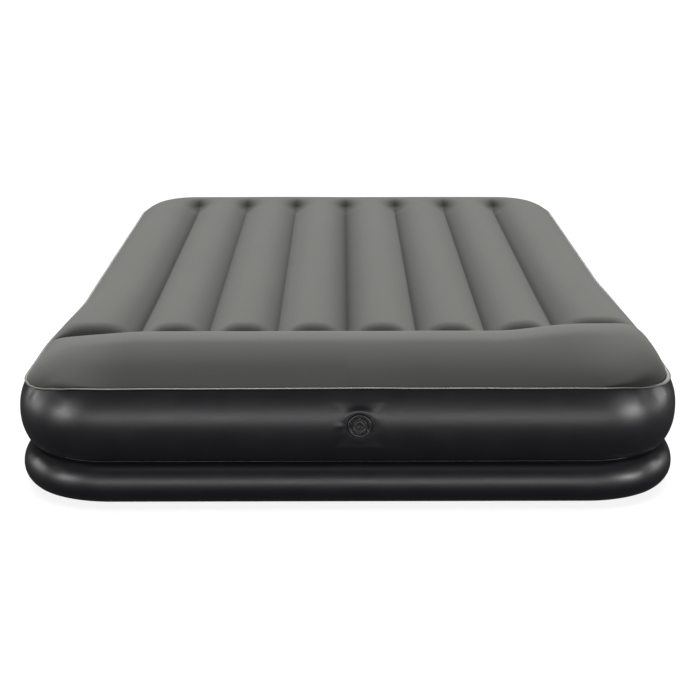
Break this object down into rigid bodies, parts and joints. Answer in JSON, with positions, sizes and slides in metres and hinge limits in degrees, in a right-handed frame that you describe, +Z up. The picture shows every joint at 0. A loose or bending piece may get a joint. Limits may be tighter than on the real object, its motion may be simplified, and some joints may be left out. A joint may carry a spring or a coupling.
{
  "type": "air mattress",
  "caption": "Raised double-deck air bed with a flocked channelled top, built-in pillow, charcoal side wall and a screw valve with a swinging stopper.",
  "frame": {"origin": "on the floor, under the middle of the bed", "axes": "+Z up, +Y from the head end (pillow and valve) to the foot, +X to the right seen from the head end"},
  "size_m": [1.52, 2.03, 0.3154],
  "materials": {
    "flocked_top": "grey flocking, matt, slightly olive",
    "charcoal_vinyl": "satin charcoal PVC with a fine grain",
    "weld_vinyl": "pressed weld line in the PVC, a little glossier",
    "inner_vinyl": "unprinted grey PVC, hidden inside",
    "valve_plastic": "black moulded plastic, satin",
    "valve_rubber": "black soft PVC"
  },
  "bodies": {
    "shell": {"bottom_sheet": "charcoal_vinyl", "bottom_seam": "weld_vinyl", "upper_side_wall": "charcoal_vinyl", "lower_side_wall": "charcoal_vinyl", "beam_1": "inner_vinyl", "beam_2": "inner_vinyl", "beam_3": "inner_vinyl", "beam_4": "inner_vinyl", "beam_5": "inner_vinyl", "beam_6": "inner_vinyl", "beam_7": "inner_vinyl", "pillow_beam": "inner_vinyl"},
    "top": {"top_sheet": "flocked_top", "top_seam": "weld_vinyl"},
    "waist": {"waist_seam": "weld_vinyl", "girdle_band": "inner_vinyl"},
    "valve": {"valve_seat": "valve_plastic"},
    "plug_carrier": {"valve_gasket": "valve_rubber"},
    "plug": {"valve_plug": "valve_plastic", "stopper_strap": "valve_rubber"},
    "stopper": {"stopper": "valve_plastic"},
    "flap": {"check_flap": "valve_rubber"}
  },
  "joints": [
    {"name": "deflate", "type": "slide", "parent": "shell", "child": "top", "axis": [0, 0, -1], "range_m": [0, 0.15], "stiffness_N_per_m": 8000, "deforming": ["upper_side_wall", "lower_side_wall", "beam_1", "beam_2", "beam_3", "beam_4", "beam_5", "beam_6", "beam_7", "pillow_beam"]},
    {"name": "waist_sink", "type": "slide", "parent": "shell", "child": "waist", "axis": [0, 0, -1], "range_m": [0, 0.0563]},
    {"name": "valve_sink", "type": "slide", "parent": "shell", "child": "valve", "axis": [0, 0, -1], "range_m": [0, 0.1086]},
    {"name": "plug_travel", "type": "slide", "parent": "valve", "child": "plug_carrier", "axis": [0, -1, 0], "range_m": [0, 0.009]},
    {"name": "plug_turn", "type": "hinge", "parent": "plug_carrier", "child": "plug", "pos_m": [0.025, -1.015, 0.2025], "axis": [0, -1, 0], "range_deg": [0, 541]},
    {"name": "stopper_swing", "type": "hinge", "parent": "plug", "child": "stopper", "pos_m": [0.025, -1.0138, 0.2197], "axis": [-1, 0, 0], "range_deg": [0, 140]},
    {"name": "flap_swing", "type": "hinge", "parent": "plug", "child": "flap", "pos_m": [0.025, -0.9987, 0.2131], "axis": [1, 0, 0], "range_deg": [0, 45], "stiffness_Nm_per_rad": 0.002}
  ],
  "couplings": [
    {"joint": "waist_sink", "follows": "deflate", "ratio": 0.375},
    {"joint": "valve_sink", "follows": "deflate", "ratio": 0.72321},
    {"joint": "plug_turn", "follows": "plug_travel", "rad_per_m": 1047.2}
  ]
}
